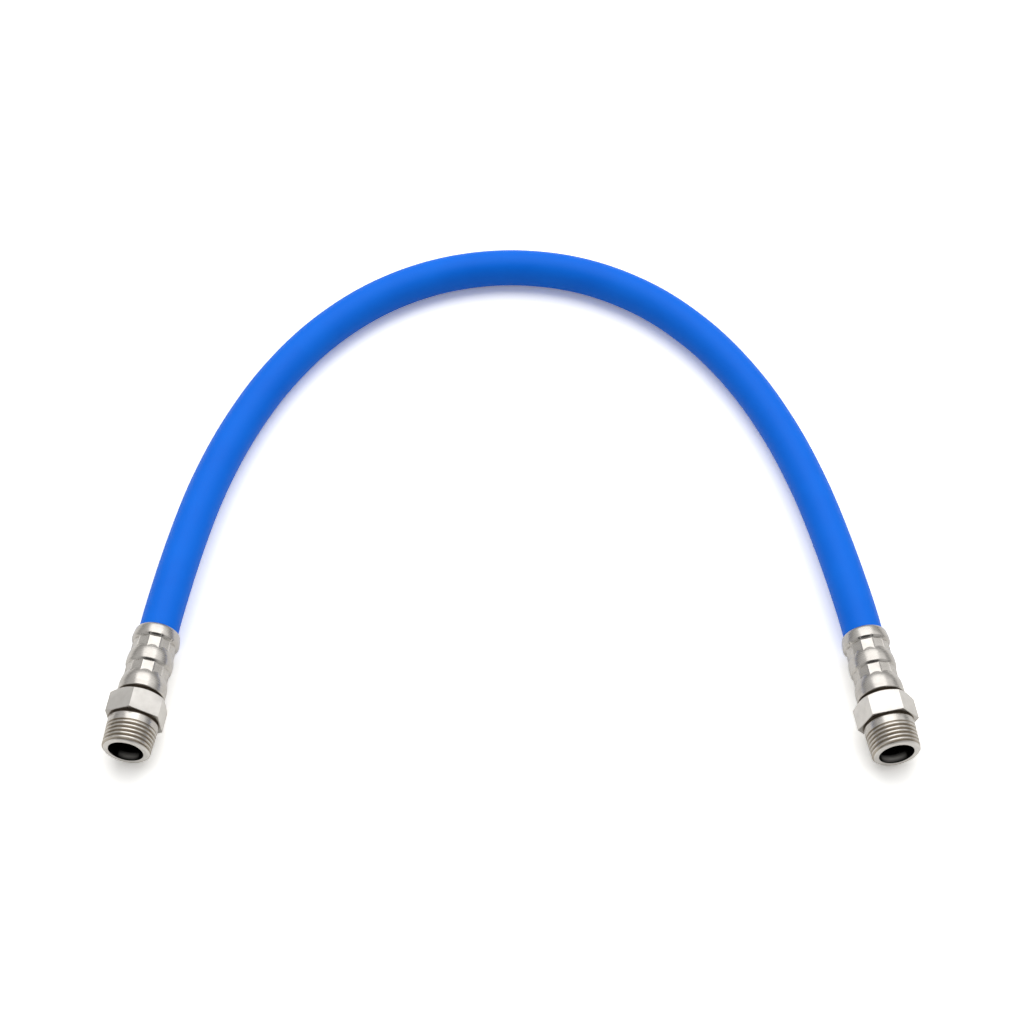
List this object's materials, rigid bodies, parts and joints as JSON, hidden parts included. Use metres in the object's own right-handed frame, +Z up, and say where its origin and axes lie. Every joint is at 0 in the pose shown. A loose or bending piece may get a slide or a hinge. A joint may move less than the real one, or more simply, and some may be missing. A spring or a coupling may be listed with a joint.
{
  "type": "flexible hose",
  "caption": "Short flexible hose with a crimped taper-thread male fitting and hexagon at each end, lying in an arch.",
  "frame": {"origin": "on the floor, under the middle of the whole object's box", "axes": "+X from the left end to the right end, +Y towards the top of the arch, +Z up from the floor; both threads point along -Y"},
  "size_m": [0.3416, 0.2798, 0.0262],
  "materials": {
    "blue_rubber": "satin",
    "nickel_plated_steel": "satin"
  },
  "bodies": {
    "root": {"hose": "blue_rubber", "left_ferrule": "nickel_plated_steel", "left_stem": "nickel_plated_steel", "right_ferrule": "nickel_plated_steel", "right_stem": "nickel_plated_steel"}
  },
  "joints": []
}
